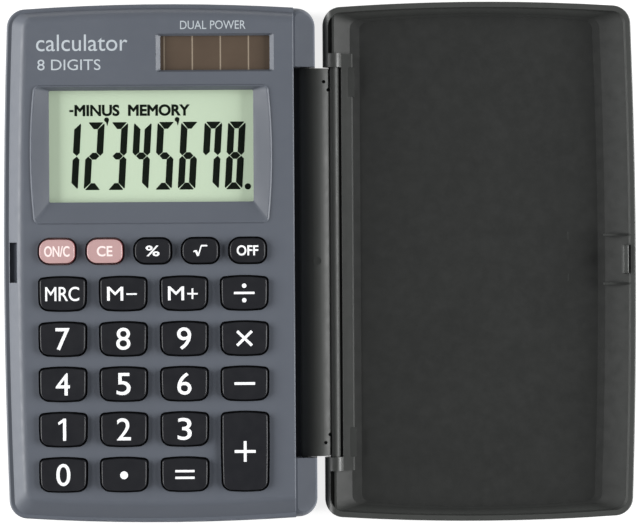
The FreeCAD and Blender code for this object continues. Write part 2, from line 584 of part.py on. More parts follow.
# ---------------------------------------------------------------- fasteners
def screw(x, y, z_seat, length, shank_r, head_r, head_t):
    """Pan-head screw driven upwards, its head below z_seat, with a cross recess."""
    head = rod(x, y, z_seat - head_t, z_seat, head_r)
    head = head.makeFillet(head_t * 0.45, level_edges(head, z_seat - head_t))
    shank = rod(x, y, z_seat - 0.1, z_seat + length - shank_r, shank_r)
    tip = Part.makeCone(shank_r, shank_r * 0.25, shank_r, V(x, y, z_seat + length - shank_r))
    arm, slot, depth = head_r * 0.62, head_r * 0.16, head_t * 0.55
    z0 = z_seat - head_t - 0.1
    cross = [box(x - arm, x + arm, y - slot, y + slot, z0, z0 + depth + 0.1),
             box(x - slot, x + slot, y - arm, y + arm, z0, z0 + depth + 0.1)]
    return union(head, shank, tip).cut(cross)


def door_screw():
    """Countersunk screw that holds the battery door."""
    x, y = DOOR_SCREW
    head = Part.makeCone(SCREW_HEAD_R, SCREW_SHANK_R, 0.65, V(x, y, 0.08))
    shank = rod(x, y, 0.6, Z_BOARD - 1.3, SCREW_SHANK_R)
    arm, slot = SCREW_HEAD_R * 0.6, SCREW_HEAD_R * 0.15
    cross = [box(x - arm, x + arm, y - slot, y + slot, 0, 0.42),
             box(x - slot, x + slot, y - arm, y + arm, 0, 0.42)]
    return union(head, shank).cut(cross)


def make_fasteners():
    """All screws. Screws of one kind share a node."""
    FREE_SHAPES["housing_screws"] = Part.makeCompound(
        [screw(x, y, Z_SCREW_SEAT, 5.0, SCREW_SHANK_R, SCREW_HEAD_R, SCREW_HEAD_T)
         for x, y in HOUSING_SCREWS])
    FREE_SHAPES["board_screws"] = Part.makeCompound(
        [screw(x, y, Z_BOARD, 3.0, BOARD_SHANK_R, BOARD_HEAD_R, BOARD_HEAD_T) for x, y in BOARD_SCREWS])
    FREE_SHAPES["battery_door_screw"] = door_screw()


# ---------------------------------------------------------------- hinge link and cover
def hinge_link():
    """Narrow link with a crowned back, a knuckle along each hinge line and a pin at each corner."""
    z_low, z_crest = Z_HINGE - KNUCKLE_R, Z_HINGE + 2.05
    crest_x, groove_x, foot = BODY_HINGE_X + 2.3, COVER_HINGE_X - 0.85, 1.1
    corners = [(BODY_HINGE_X, z_low), (BODY_HINGE_X + foot, z_low),
               (COVER_HINGE_X - foot, z_low), (COVER_HINGE_X, z_low),
               (COVER_HINGE_X, Z_HINGE + 0.2), (groove_x, Z_HINGE + 0.6),
               (BODY_HINGE_X - 0.6, Z_HINGE + 1.04)]
    points = [V(x, -LINK_HALF, z) for x, z in corners]
    underside = V((BODY_HINGE_X + COVER_HINGE_X) / 2, -LINK_HALF, z_low + 1.3)
    crown = V(crest_x, -LINK_HALF, z_crest)
    edges = [Part.makeLine(points[0], points[1]), Part.Arc(points[1], underside, points[2]).toShape(),
             Part.makeLine(points[2], points[3]), Part.makeLine(points[3], points[4]),
             Part.makeLine(points[4], points[5]), Part.Arc(points[5], crown, points[6]).toShape(),
             Part.makeLine(points[6], points[0])]
    web = Part.Face(Part.Wire(edges)).extrude(V(0, 2 * LINK_HALF, 0))
    knuckles = [rod_along_y(x, -LINK_HALF, LINK_HALF, Z_HINGE, KNUCKLE_R)
                for x in (BODY_HINGE_X, COVER_HINGE_X)]
    pins = []
    for x in (BODY_HINGE_X, COVER_HINGE_X):
        pin = rod_along_y(x, -LINK_HALF - PIN_LENGTH, LINK_HALF + PIN_LENGTH, Z_HINGE, PIN_R)
        pins.append(pin.makeChamfer(0.3, [e for e in pin.Edges if e.BoundBox.YLength < 0.01]))
    ejector_mark = rod(crest_x + 0.4, LATCH_Y, Z_HINGE + 0.5, z_crest + 0.03, 0.9)
    link = union(web, *knuckles, *pins, ejector_mark)
    tools = []
    slit_x, slit_length, slit_half = groove_x - 0.1, 4.8, 0.2
    for side in (-1, 1):
        y_end, y_root = side * (LINK_HALF + 1), side * (LINK_HALF - slit_length)
        tools.append(box(slit_x - slit_half, slit_x + slit_half, *sorted((y_end, y_root)),
                         Z_HINGE - 0.3, Z_FACE))
        tools.append(rod(slit_x - slit_half, y_root, Z_HINGE - 0.3, Z_FACE, slit_half * 2))
        tools.append(rod(slit_x - 1.2, side * (LINK_HALF - 3.0), Z_HINGE + 0.6, Z_FACE, 0.4))
    return link.cut(tools)


def cover_outline(inset_hinge, inset_free, inset_end, corner):
    """The cover's outline, drawn in by its own inset on the hinge side, the free side and the ends."""
    left, right = COVER_LEFT + inset_hinge, COVER_RIGHT - SIDE_BOW - inset_free
    top = COVER_TOP - END_BOW - inset_end
    return (rectangle(left, right, -top, top), [END_BOW, SIDE_BOW, END_BOW, 0], [corner] * 4)


def cover():
    """Smoked cover: a shallow tray with a broad sloping shoulder along its free edge and a catch on it."""
    panel = frustum(cover_outline(1.5, 7.2, 1.7, 2.6), 0,
                    cover_outline(0.05, 0.25, 0.1, 4.1), Z_COVER_SHOULDER)
    rim = frustum(cover_outline(0.05, 0.25, 0.1, 4.1), Z_COVER_SHOULDER,
                  cover_outline(0, 0, 0, 4.2), COVER_DEPTH)
    shell = union(panel, rim)
    shell = shell.makeFillet(1.6, level_edges(shell, 0))
    shell = shell.makeFillet(1.5, level_edges(shell, Z_COVER_SHOULDER))
    shell = shell.makeFillet(0.3, level_edges(shell, COVER_DEPTH))

    z_inner_shoulder = Z_COVER_SHOULDER + 0.9
    gentle = frustum(cover_outline(8.4, 8.2, 3.0, 1.8), COVER_T,
                     cover_outline(6.2, 6.6, 2.5, 2.2), COVER_T + 0.4)
    steeper = frustum(cover_outline(6.2, 6.6, 2.5, 2.2), COVER_T + 0.4,
                      cover_outline(1.3, 1.45, 1.35, 3.0), z_inner_shoulder)
    hollow = union(gentle, steeper)
    opening = frustum(cover_outline(1.3, 1.45, 1.35, 3.0), z_inner_shoulder,
                      cover_outline(1.2, 1.2, 1.2, 3.0),
                      COVER_DEPTH + 0.01)
    shell = shell.cut(union(hollow, opening).cut(notch_surround()))

    ribs = [box(COVER_HINGE_X - 0.25, COVER_HINGE_X + 0.25, y0, y1, 0.9, COVER_DEPTH - 1.2)
            for y0, y1 in ((NOTCH_HALF + 3, COVER_TOP - 2.6), (-COVER_TOP + 2.6, -NOTCH_HALF - 3))]
    gussets = [box(COVER_NOTCH_X + 1.0, COVER_NOTCH_X + 3.0, y0, y1, 0.9, COVER_WALL_TOP - 0.3)
               for y0, y1 in ((NOTCH_HALF - 6.6, NOTCH_HALF), (-NOTCH_HALF, -NOTCH_HALF + 6.6))]
    shell = union(shell, *ribs, *gussets, *catch_and_flanking_ribs())

    round_r, y_far = 2.8, COVER_TOP + 1
    ear_round = box(COVER_LEFT - 1, COVER_LEFT + round_r, -y_far, y_far,
                    COVER_DEPTH - round_r, COVER_DEPTH + 2)
    ear_round = ear_round.cut(
        rod_along_y(COVER_LEFT + round_r, -y_far - 1, y_far + 1, COVER_DEPTH - round_r, round_r))
    tools = [ear_round,
             box(COVER_LEFT - 1, COVER_NOTCH_X - LIP, -NOTCH_HALF, NOTCH_HALF, -1, COVER_DEPTH + 2),
             box(COVER_LEFT - 1, COVER_NOTCH_X, -NOTCH_HALF, NOTCH_HALF, 0.7, COVER_DEPTH + 2)]
    for side in (-1, 1):
        y0, y1 = sorted((side * (NOTCH_HALF - 0.1), side * (NOTCH_HALF + PIN_HOLE_DEPTH)))
        tools.append(rod_along_y(COVER_HINGE_X, y0, y1, Z_HINGE, PIN_HOLE_R))
    return shell.cut(tools).removeSplitter()


COVER_WALL_TOP = 3.1  # low enough to pass over the calculator's face when the cover shuts
COVER_BOSS_R = 1.85


def notch_surround():
    """Material left round the cover's hinge notch: a low sloping wall, and a boss for each pin."""
    y_end = NOTCH_HALF + 3.1
    profile = [(COVER_LEFT - 1, -1), (COVER_NOTCH_X + 2.7, -1), (COVER_NOTCH_X + 2.7, COVER_T),
               (COVER_NOTCH_X + 2.3, COVER_WALL_TOP - 0.45), (COVER_NOTCH_X, COVER_WALL_TOP),
               (COVER_LEFT - 1, COVER_WALL_TOP)]
    loop = [V(x, -y_end, z) for x, z in profile]
    wall = Part.Face(Part.makePolygon(loop + loop[:1])).extrude(V(0, 2 * y_end, 0))
    boss = rod_along_y(COVER_HINGE_X, -y_end, y_end, Z_HINGE, COVER_BOSS_R)
    outer = box(COVER_LEFT - 1, COVER_HINGE_X, -y_end, y_end, Z_HINGE - 1, COVER_DEPTH + 1)
    return union(wall, boss, outer)


def catch_and_flanking_ribs():
    """The catch that snaps into the calculator's free shoulder, and the two thin ribs beside it."""
    half = 3.2
    x1 = COVER_RIGHT - 1.0
    x0 = x1 - 1.95
    block = box(x0, x1, LATCH_Y - half, LATCH_Y + half, 2.5, COVER_DEPTH - 0.3)
    hook = box(x0, x0 + 1.2, LATCH_Y - half, LATCH_Y + half, COVER_DEPTH - 1.0, COVER_DEPTH + 0.7)
    hook = hook.makeFillet(0.25, level_edges(hook, COVER_DEPTH + 0.7))
    profile = [(-7.0, 1.0), (-4.8, 1.3), (-1.0, 2.8), (-1.0, 3.5), (-7.0, 3.5)]
    flanks = []
    for y in (LATCH_Y - 5.5, LATCH_Y + 5.5):
        loop = [V(COVER_RIGHT + x, y - 0.25, z) for x, z in profile]
        flanks.append(Part.Face(Part.makePolygon(loop + loop[:1])).extrude(V(0, 0.5, 0)))
    return [block, hook] + flanks


# ---------------------------------------------------------------- assembly
def main():
    """Builds every piece and writes one STEP file for each."""
    FREE_SHAPES["upper_housing"] = upper_housing()
    FREE_SHAPES["lower_housing"] = lower_housing()
    FREE_SHAPES["battery_door"] = battery_door()
    make_keys()
    FREE_SHAPES["dome_mat"] = dome_mat()
    FREE_SHAPES["carbon_pills"] = carbon_pills()
    FREE_SHAPES["circuit_board"] = circuit_board()
    FREE_SHAPES["chip_globtop"] = chip_globtop()
    FREE_SHAPES["electrolytic_capacitor"] = electrolytic_capacitor()
    FREE_SHAPES["chip_capacitors"] = chips([(8.0, -22.1), (8.0, -32.0), (-22.0, -24.0)], 2.0, 1.25, 0.9)
    FREE_SHAPES["chip_resistors"] = chips([(14.0, 12.0), (18.0, 12.0), (-22.0, -34.0)], 2.0, 1.25, 0.5)
    FREE_SHAPES["steering_diodes"] = steering_diodes()
    FREE_SHAPES["solar_panel"] = solar_panel()
    FREE_SHAPES["solar_lead_red"] = solar_lead(48.6)
    FREE_SHAPES["solar_lead_black"] = solar_lead(45.8)
    display_layers()
    FREE_SHAPES["display_ribbon"] = display_ribbon()
    FREE_SHAPES["button_cell"] = button_cell()
    battery_contacts()
    make_fasteners()
    FREE_SHAPES["hinge_link"] = hinge_link()
    FREE_SHAPES["cover"] = cover()

    os.makedirs("parts", exist_ok=True)
    for old in os.listdir("parts"):
        os.remove(os.path.join("parts", old))
    for name, shape in FREE_SHAPES.items():
        if not shape.isValid() or shape.Volume <= 0:
            print("PROBLEM", name, shape.isValid(), round(shape.Volume, 3))
        shape.exportStep(os.path.join("parts", name + ".step"))
    print(len(FREE_SHAPES), "nodes written")


main()
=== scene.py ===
import math

import bmesh
import bpy
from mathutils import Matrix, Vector


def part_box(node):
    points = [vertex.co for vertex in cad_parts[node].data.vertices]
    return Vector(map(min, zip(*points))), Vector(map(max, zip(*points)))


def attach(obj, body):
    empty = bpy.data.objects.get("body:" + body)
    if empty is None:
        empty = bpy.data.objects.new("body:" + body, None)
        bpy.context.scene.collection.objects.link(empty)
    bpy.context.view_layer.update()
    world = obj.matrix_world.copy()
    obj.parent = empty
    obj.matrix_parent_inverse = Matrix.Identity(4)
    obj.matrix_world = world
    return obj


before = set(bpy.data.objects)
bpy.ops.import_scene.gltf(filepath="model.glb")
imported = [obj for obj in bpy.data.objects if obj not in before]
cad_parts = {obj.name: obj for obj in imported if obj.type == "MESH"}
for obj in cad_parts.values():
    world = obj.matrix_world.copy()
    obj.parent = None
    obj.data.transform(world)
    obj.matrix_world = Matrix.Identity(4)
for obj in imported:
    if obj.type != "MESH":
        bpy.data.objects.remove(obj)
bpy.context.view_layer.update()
MM = 0.001
Z_FACE = 9.3          # the calculator's flat face, in mm
Z_COVER_PANEL = 1.3   # the inside of the cover's flat panel, in mm
SUNK = 0.02           # how far printing and segments reach into the surface below them, in mm
KEY_INK = 0.03        # thickness of the printing on the keys, in mm
FACE_INK = 0.015      # thickness of the printing on the face, in mm
FILM = 0.02           # thickness of segments, solar cells and the cover's marks, in mm


# ---------------------------------------------------------------- camera, floor and light
def middle(node):
    """Middle of a CAD node's box."""
    low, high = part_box(node)
    return (Vector(low) + Vector(high)) / 2


def aim(obj, target):
    """Turns a light or camera towards a point."""
    obj.rotation_euler = (Vector(target) - obj.location).to_track_quat("-Z", "Y").to_euler()


def make_camera():
    """Long lens straight above both halves, turned a third of a degree."""
    picture_width, at_height = 143.2 * MM, 6 * MM
    from_calculator = 35.66 * MM
    data = bpy.data.cameras.new("camera")
    data.lens, data.sensor_width = 150, 36
    cam = bpy.data.objects.new("camera", data)
    bpy.context.collection.objects.link(cam)
    centre_x = middle("upper_housing").x + from_calculator
    above = picture_width * data.lens / data.sensor_width
    cam.location = (centre_x, 0.05 * MM, at_height + above)
    cam.rotation_euler = (0, 0, math.radians(-0.35))
    bpy.context.scene.camera = cam


def softbox(name, location, target, width, height, watts):
    """White rectangular area light."""
    data = bpy.data.lights.new(name, "AREA")
    data.shape, data.size, data.size_y, data.energy = "RECTANGLE", width, height, watts
    lamp = bpy.data.objects.new(name, data)
    bpy.context.collection.objects.link(lamp)
    lamp.location = location
    aim(lamp, target)


def make_floor():
    """Plain floor that renders white: grey, with enough glow of its own to stay white under shadows."""
    mesh = bpy.data.meshes.new("floor")
    half = 3.0
    corners = [(-half, -half, 0), (half, -half, 0), (half, half, 0), (-half, half, 0)]
    mesh.from_pydata(corners, [], [(0, 1, 2, 3)])
    floor = bpy.data.objects.new("floor", mesh)
    bpy.context.collection.objects.link(floor)
    floor.location.z = -0.03 * MM
    mat, _, _, shader = new_material("floor_white")
    shader.inputs["Base Color"].default_value = (0.35, 0.35, 0.35, 1)
    shader.inputs["Roughness"].default_value = 0.9
    shader.inputs["Emission Color"].default_value = (1, 1, 1, 1)
    shader.inputs["Emission Strength"].default_value = 0.80
    mesh.materials.append(mat)


def make_lights():
    """Two wide soft boxes, one at each side and set low, with a weak fill from the room."""
    target = (35 * MM, 0, 0)
    wide, tall = 0.62, 0.34
    softbox("left_box", (-0.62, 0.03, 0.27), target, wide, tall, 8.9)
    softbox("right_box", (0.72, 0.0, 0.27), target, wide, tall, 10.6)
    world = bpy.data.worlds.new("studio")
    bpy.context.scene.world = world
    world.use_nodes = True
    background = world.node_tree.nodes["Background"]
    background.inputs["Color"].default_value = (0.97, 0.98, 1.0, 1)
    background.inputs["Strength"].default_value = 0.12
    bpy.context.scene.view_settings.view_transform = "Standard"


# ---------------------------------------------------------------- materials
def new_material(name):
    """Material with an empty Principled shader. Returns the material, its nodes, its links and the shader."""
    mat = bpy.data.materials.new(name)
    mat.use_nodes = True
    nodes, links = mat.node_tree.nodes, mat.node_tree.links
    return mat, nodes, links, nodes["Principled BSDF"]


def noise(nodes, links, coords, scale, detail=3.0, stretch=(1, 1, 1)):
    """Noise texture in object space, at a number of features per metre."""
    mapping = nodes.new("ShaderNodeMapping")
    mapping.inputs["Scale"].default_value = stretch
    links.new(coords.outputs["Object"], mapping.inputs["Vector"])
    tex = nodes.new("ShaderNodeTexNoise")
    tex.inputs["Scale"].default_value = scale
    tex.inputs["Detail"].default_value = detail
    links.new(mapping.outputs["Vector"], tex.inputs["Vector"])
    return tex.outputs["Fac"]


def spread(nodes, links, fac, low, high):
    """Maps the middle of a noise's range onto low to high."""
    remap = nodes.new("ShaderNodeMapRange")
    remap.inputs["From Min"].default_value, remap.inputs["From Max"].default_value = 0.3, 0.7
    remap.inputs["To Min"].default_value, remap.inputs["To Max"].default_value = low, high
    links.new(fac, remap.inputs["Value"])
    return remap.outputs["Result"]


def mixed(nodes, links, fac, first, second):
    """Colour between two colours or sockets."""
    mix = nodes.new("ShaderNodeMix")
    mix.data_type = "RGBA"
    for socket, value in ((mix.inputs["A"], first), (mix.inputs["B"], second)):
        if isinstance(value, tuple):
            socket.default_value = (*value, 1)
        else:
            links.new(value, socket)
    links.new(fac, mix.inputs["Factor"])
    return mix.outputs["Result"]


def scaled(colour, k):
    """Colour made brighter or darker."""
    return tuple(min(1.0, c * k) for c in colour)


def moulded(name, colour, roughness, grain=7000, relief=0.012, patchy=0.05, alpha=1.0, metal=0.0, coat=0.0,
            painted_side_shade=None, specular=0.5):
    """Moulded surface: broad unevenness in colour, finer unevenness in gloss, and a fine grain as bump. When
    a painted side shade is given, faces that stand steep get a darker colour as painted shade.
    """
    mat, nodes, links, shader = new_material(name)
    coords = nodes.new("ShaderNodeTexCoord")
    broad = spread(nodes, links, noise(nodes, links, coords, 55), 0.0, 1.0)
    tone = mixed(nodes, links, broad, scaled(colour, 1 - patchy), scaled(colour, 1 + patchy))
    speck = spread(nodes, links, noise(nodes, links, coords, grain * 0.6, 2), 0.0, 0.35)
    tone = mixed(nodes, links, speck, tone, scaled(colour, 1 + patchy * 2))
    # Painted shade: steep faces, picked by the tilt of their normal, are coloured darker as if in shadow.
    if painted_side_shade:
        split = nodes.new("ShaderNodeSeparateXYZ")
        links.new(coords.outputs["Normal"], split.inputs["Vector"])
        ramp = nodes.new("ShaderNodeMapRange")
        ramp.inputs["From Min"].default_value, ramp.inputs["From Max"].default_value = 0.35, 0.75
        links.new(split.outputs["Z"], ramp.inputs["Value"])
        tone = mixed(nodes, links, ramp.outputs["Result"], painted_side_shade, tone)
    links.new(tone, shader.inputs["Base Color"])
    gloss = noise(nodes, links, coords, 420, 4)
    links.new(spread(nodes, links, gloss, roughness * 0.9, roughness * 1.12), shader.inputs["Roughness"])
    bump = nodes.new("ShaderNodeBump")
    bump.inputs["Strength"].default_value = 0.5
    bump.inputs["Distance"].default_value = relief * MM
    links.new(noise(nodes, links, coords, grain, 2), bump.inputs["Height"])
    links.new(bump.outputs["Normal"], shader.inputs["Normal"])
    shader.inputs["Metallic"].default_value = metal
    shader.inputs["Alpha"].default_value = alpha
    shader.inputs["Coat Weight"].default_value = coat
    shader.inputs["Specular IOR Level"].default_value = specular
    return mat


def brushed(name, colour, roughness, stretch):
    """Metal with fine drawn lines."""
    mat, nodes, links, shader = new_material(name)
    coords = nodes.new("ShaderNodeTexCoord")
    lines = noise(nodes, links, coords, 9000, 3, stretch)
    tone = mixed(nodes, links, lines, scaled(colour, 0.85), scaled(colour, 1.1))
    links.new(tone, shader.inputs["Base Color"])
    links.new(spread(nodes, links, lines, roughness * 0.8, roughness * 1.25), shader.inputs["Roughness"])
    bump = nodes.new("ShaderNodeBump")
    bump.inputs["Strength"].default_value, bump.inputs["Distance"].default_value = 0.3, 0.004 * MM
    links.new(lines, bump.inputs["Height"])
    links.new(bump.outputs["Normal"], shader.inputs["Normal"])
    shader.inputs["Metallic"].default_value = 1.0
    return mat


def lighter_with_height(name, node, low, high, gain):
    """Paints light into a material's colour: lighter from one height in mm to another, standing in for light
    that comes through the thin plastic.
    """
    mat = M[name]
    nodes, links = mat.node_tree.nodes, mat.node_tree.links
    shader = nodes["Principled BSDF"]
    tone = shader.inputs["Base Color"].links[0].from_socket
    coords = nodes.new("ShaderNodeTexCoord")
    split = nodes.new("ShaderNodeSeparateXYZ")
    links.new(coords.outputs["Object"], split.inputs["Vector"])
    floor = min(v.co.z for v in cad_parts[node].data.vertices)
    ramp = nodes.new("ShaderNodeMapRange")
    ramp.inputs["From Min"].default_value = floor + low * MM
    ramp.inputs["From Max"].default_value = floor + high * MM
    links.new(split.outputs["Z"], ramp.inputs["Value"])
    bright = nodes.new("ShaderNodeVectorMath")
    bright.operation = "SCALE"
    bright.inputs["Scale"].default_value = gain
    links.new(tone, bright.inputs[0])
    lifted = mixed(nodes, links, ramp.outputs["Result"], tone, bright.outputs["Vector"])
    links.new(lifted, shader.inputs["Base Color"])


GREY = (0.091, 0.101, 0.121)
M = {}


def make_materials():
    """Every material, by name."""
    M["front"] = moulded("front_grey", GREY, 0.46, patchy=0.03, specular=0.35)
    M["back"] = moulded("back_grey", scaled(GREY, 0.72), 0.52, grain=5200, relief=0.02, patchy=0.03,
                        specular=0.35)
    M["dark_key"] = moulded("dark_key", (0.0105, 0.011, 0.0135), 0.42, grain=9000, relief=0.006,
                            patchy=0.06, specular=0.3)
    # The pink keys' steep sides get a darker pink: painted shade.
    M["pink_key"] = moulded("pink_key", (0.45, 0.285, 0.28), 0.4, grain=9000, relief=0.006, patchy=0.03,
                            painted_side_shade=(0.20, 0.045, 0.05))
    M["smoked"] = moulded("smoked", (0.019, 0.020, 0.019), 0.40, grain=2600, relief=0.005, patchy=0.08,
                          alpha=0.965, specular=0.45)
    # Painted light: the cover's walls and shoulders get a lighter colour with height, standing in for light
    # through the plastic.
    lighter_with_height("smoked", "cover", 1.35, 3.1, 2.2)
    M["link"] = moulded("link", (0.034, 0.036, 0.034), 0.5, grain=2600, relief=0.006, patchy=0.08,
                        specular=0.28)
    M["lens"] = moulded("lens", (0.02, 0.02, 0.02), 0.06, grain=300, relief=0.002, alpha=0.05)
    M["adhesive"] = moulded("adhesive", (0.03, 0.03, 0.03), 0.7)
    M["lcd"] = moulded("lcd_film", (0.40, 0.485, 0.365), 0.4, grain=16000, relief=0.002, patchy=0.012)
    # Painted light: the display film glows faintly, lifting it and thinning the shade the bezel casts on it.
    film_painted_glow = M["lcd"].node_tree.nodes["Principled BSDF"].inputs
    film_painted_glow["Emission Color"].default_value = (0.80, 0.98, 0.73, 1)
    film_painted_glow["Emission Strength"].default_value = 0.22
    M["segment"] = moulded("lcd_segment", (0.003, 0.006, 0.003), 0.5, grain=12000, relief=0.001,
                           specular=0.08)
    M["glass"] = moulded("display_glass", (0.62, 0.7, 0.6), 0.08, grain=900, relief=0.001, alpha=0.5)
    M["reflector"] = moulded("reflector", (0.6, 0.68, 0.55), 0.4, grain=14000, metal=0.4)
    M["film"] = moulded("ribbon_film", (0.09, 0.07, 0.05), 0.45)
    M["solar"] = moulded("solar_glass", (0.105, 0.075, 0.055), 0.2, grain=1500, relief=0.001, patchy=0.06,
                         coat=0.3)
    M["cell"] = solar_cell()
    M["divider"] = moulded("cell_divider", (0.25, 0.205, 0.155), 0.4)
    M["ink"] = moulded("white_ink", (0.86, 0.87, 0.88), 0.5, grain=11000, relief=0.003, patchy=0.02)
    M["pale_ink"] = moulded("pale_ink", (0.86, 0.72, 0.70), 0.5, grain=11000, relief=0.003, patchy=0.02)
    M["label_ink"] = moulded("label_ink", (0.42, 0.46, 0.49), 0.5, grain=11000, relief=0.003, patchy=0.03)
    M["red_lead"] = moulded("red_lead", (0.45, 0.02, 0.015), 0.4)
    M["black_lead"] = moulded("black_lead", (0.015, 0.015, 0.015), 0.4)
    M["board"] = moulded("board", (0.20, 0.14, 0.055), 0.45, grain=3000, patchy=0.15)
    M["epoxy"] = moulded("epoxy", (0.012, 0.012, 0.012), 0.15, grain=900)
    M["sleeve"] = moulded("sleeve", (0.015, 0.02, 0.05), 0.3)
    M["ceramic"] = moulded("ceramic", (0.36, 0.25, 0.15), 0.5)
    M["coated"] = moulded("coated", (0.02, 0.02, 0.02), 0.45)
    M["diode"] = moulded("diode", (0.55, 0.18, 0.05), 0.12, alpha=0.85)
    M["silicone"] = moulded("silicone", (0.50, 0.50, 0.47), 0.6, grain=3500, relief=0.02)
    M["carbon"] = moulded("carbon", (0.02, 0.02, 0.02), 0.75, grain=6000, relief=0.02)
    M["nickel"] = brushed("nickel", (0.66, 0.65, 0.62), 0.28, (1, 1, 0.05))
    M["spring"] = brushed("spring_strip", (0.60, 0.56, 0.47), 0.3, (0.05, 1, 1))
    M["zinc"] = brushed("zinc", (0.45, 0.46, 0.48), 0.36, (1, 1, 0.1))


def solar_cell():
    """Amorphous cell: brown film with very fine lines across it, under glass."""
    mat, nodes, links, shader = new_material("solar_cell")
    coords = nodes.new("ShaderNodeTexCoord")
    wave = nodes.new("ShaderNodeTexWave")
    wave.bands_direction = "Y"
    wave.inputs["Scale"].default_value = 1200
    wave.inputs["Distortion"].default_value = 0.4
    links.new(coords.outputs["Object"], wave.inputs["Vector"])
    fine = mixed(nodes, links, wave.outputs["Fac"], (0.084, 0.060, 0.042), (0.094, 0.068, 0.048))
    cloud = spread(nodes, links, noise(nodes, links, coords, 160), 0.0, 0.5)
    links.new(mixed(nodes, links, cloud, fine, (0.067, 0.047, 0.034)), shader.inputs["Base Color"])
    shader.inputs["Roughness"].default_value = 0.3
    shader.inputs["Coat Weight"].default_value = 0.3
    shader.inputs["Coat Roughness"].default_value = 0.06
    return mat


def paint(node, material):
    """Gives a CAD node a material."""
    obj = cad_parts[node]
    for place in obj.material_slots:
        place.material = M[material]
    if not obj.material_slots:
        obj.data.materials.append(M[material])


NODE_MATERIALS = {
    "upper_housing": "front", "lower_housing": "back", "battery_door": "back",
    "battery_door_screw": "zinc", "housing_screws": "zinc", "board_screws": "zinc",
    "display_window": "lens", "window_adhesive": "adhesive", "front_polariser": "lcd",
    "front_display_glass": "glass", "rear_display_glass": "glass", "rear_reflector": "reflector",
    "display_ribbon": "film", "solar_panel": "solar", "solar_lead_red": "red_lead",
    "solar_lead_black": "black_lead", "circuit_board": "board", "chip_globtop": "epoxy",
    "electrolytic_capacitor": "sleeve", "chip_capacitors": "ceramic", "chip_resistors": "coated",
    "steering_diodes": "diode", "dome_mat": "silicone", "carbon_pills": "carbon", "button_cell": "nickel",
    "battery_contact_inner": "spring", "battery_contact_side": "spring", "hinge_link": "link",
    "cover": "smoked",
}
PINK_KEYS = ("key_on_clear", "key_clear_entry")


def paint_nodes():
    """Materials for every CAD node."""
    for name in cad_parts:
        if name.startswith("key_"):
            paint(name, "pink_key" if name in PINK_KEYS else "dark_key")
        else:
            paint(name, NODE_MATERIALS[name])


# ---------------------------------------------------------------- thin raised shapes: ink, segments, cells
def finish_piece(obj, body, material):
    """Puts a new piece on its body, with its material."""
    obj.data.materials.clear()
    obj.data.materials.append(M[material])
    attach(obj, body)


def raised(name, outlines, surface, thickness):
    """Flat outlines in mm, each convex, raised by a thickness from a surface given as height(x, y) in mm."""
    bm = bmesh.new()
    for outline in outlines:
        low = [bm.verts.new((x * MM, y * MM, (surface(x, y) - SUNK) * MM)) for x, y in outline]
        high = [bm.verts.new((x * MM, y * MM, (surface(x, y) + thickness) * MM)) for x, y in outline]
        bm.faces.new(high)
        bm.faces.new(low[::-1])
        for i in range(len(outline)):
            j = (i + 1) % len(outline)
            bm.faces.new((low[i], low[j], high[j], high[i]))
    bmesh.ops.recalc_face_normals(bm, faces=bm.faces)
    mesh = bpy.data.meshes.new(name)
    bm.to_mesh(mesh)
    bm.free()
    obj = bpy.data.objects.new(name, mesh)
    bpy.context.collection.objects.link(obj)
    return obj


def fatten(bm, amount):
    """Moves the sides of upright letters outwards, keeping corners sharp."""
    moves = {}
    for v in bm.verts:
        normals = [f.normal.to_2d().normalized() for f in v.link_faces if abs(f.normal.z) < 0.5]
        if not normals:
            continue
        total = sum(normals, Vector((0, 0)))
        if total.length > 1e-6:
            way = total.normalized()
            moves[v] = way * amount / max(0.6, way.dot(normals[0]))
    for v, move in moves.items():
        v.co.x += move.x
        v.co.y += move.y


def lettering(name, text, x, y, width, height, weight, surface, thickness=KEY_INK):
    """Printed letters fitted to a size in mm about (x, y), made bolder by a weight, following the surface."""
    curve = bpy.data.curves.new(name, "FONT")
    curve.body, curve.extrude, curve.resolution_u = text, 0.01, 6
    temp = bpy.data.objects.new(name + "_temp", curve)
    bpy.context.collection.objects.link(temp)
    bpy.context.view_layer.update()
    mesh = bpy.data.meshes.new_from_object(temp.evaluated_get(bpy.context.evaluated_depsgraph_get()))
    bpy.data.objects.remove(temp)
    bpy.data.curves.remove(curve)
    mesh.name = name
    bm = bmesh.new()
    bm.from_mesh(mesh)
    bmesh.ops.remove_doubles(bm, verts=bm.verts, dist=1e-5)
    xs, ys = [v.co.x for v in bm.verts], [v.co.y for v in bm.verts]
    for v in bm.verts:
        v.co.x = x + ((v.co.x - min(xs)) / (max(xs) - min(xs)) - 0.5) * (width - 2 * weight)
        v.co.y = y + ((v.co.y - min(ys)) / (max(ys) - min(ys)) - 0.5) * (height - 2 * weight)
    bmesh.ops.recalc_face_normals(bm, faces=bm.faces)
    bm.normal_update()
    fatten(bm, weight)
    for v in bm.verts:
        lift = thickness if v.co.z > 0 else -SUNK
        v.co = Vector((v.co.x, v.co.y, surface(v.co.x, v.co.y) + lift)) * MM
    bmesh.ops.recalc_face_normals(bm, faces=bm.faces)
    bm.to_mesh(mesh)
    bm.free()
    obj = bpy.data.objects.new(name, mesh)
    bpy.context.collection.objects.link(obj)
    return obj


def bar(x0, y0, x1, y1, thick, round_ends=False):
    """Outline of a straight stroke."""
    run = Vector((x1 - x0, y1 - y0))
    angle, r = math.atan2(run.y, run.x), thick / 2
    steps = 6 if round_ends else 1
    points = []
    for cx, cy, start in ((x1, y1, angle - math.pi / 2), (x0, y0, angle + math.pi / 2)):
        for i in range(steps + 1):
            turn = start + math.pi * i / steps
            points.append((cx + r * math.cos(turn), cy + r * math.sin(turn)))
    return points


def disc(x, y, r, n=28):
    """Outline of a round dot."""
    return [(x + r * math.cos(2 * math.pi * i / n), y + r * math.sin(2 * math.pi * i / n)) for i in range(n)]


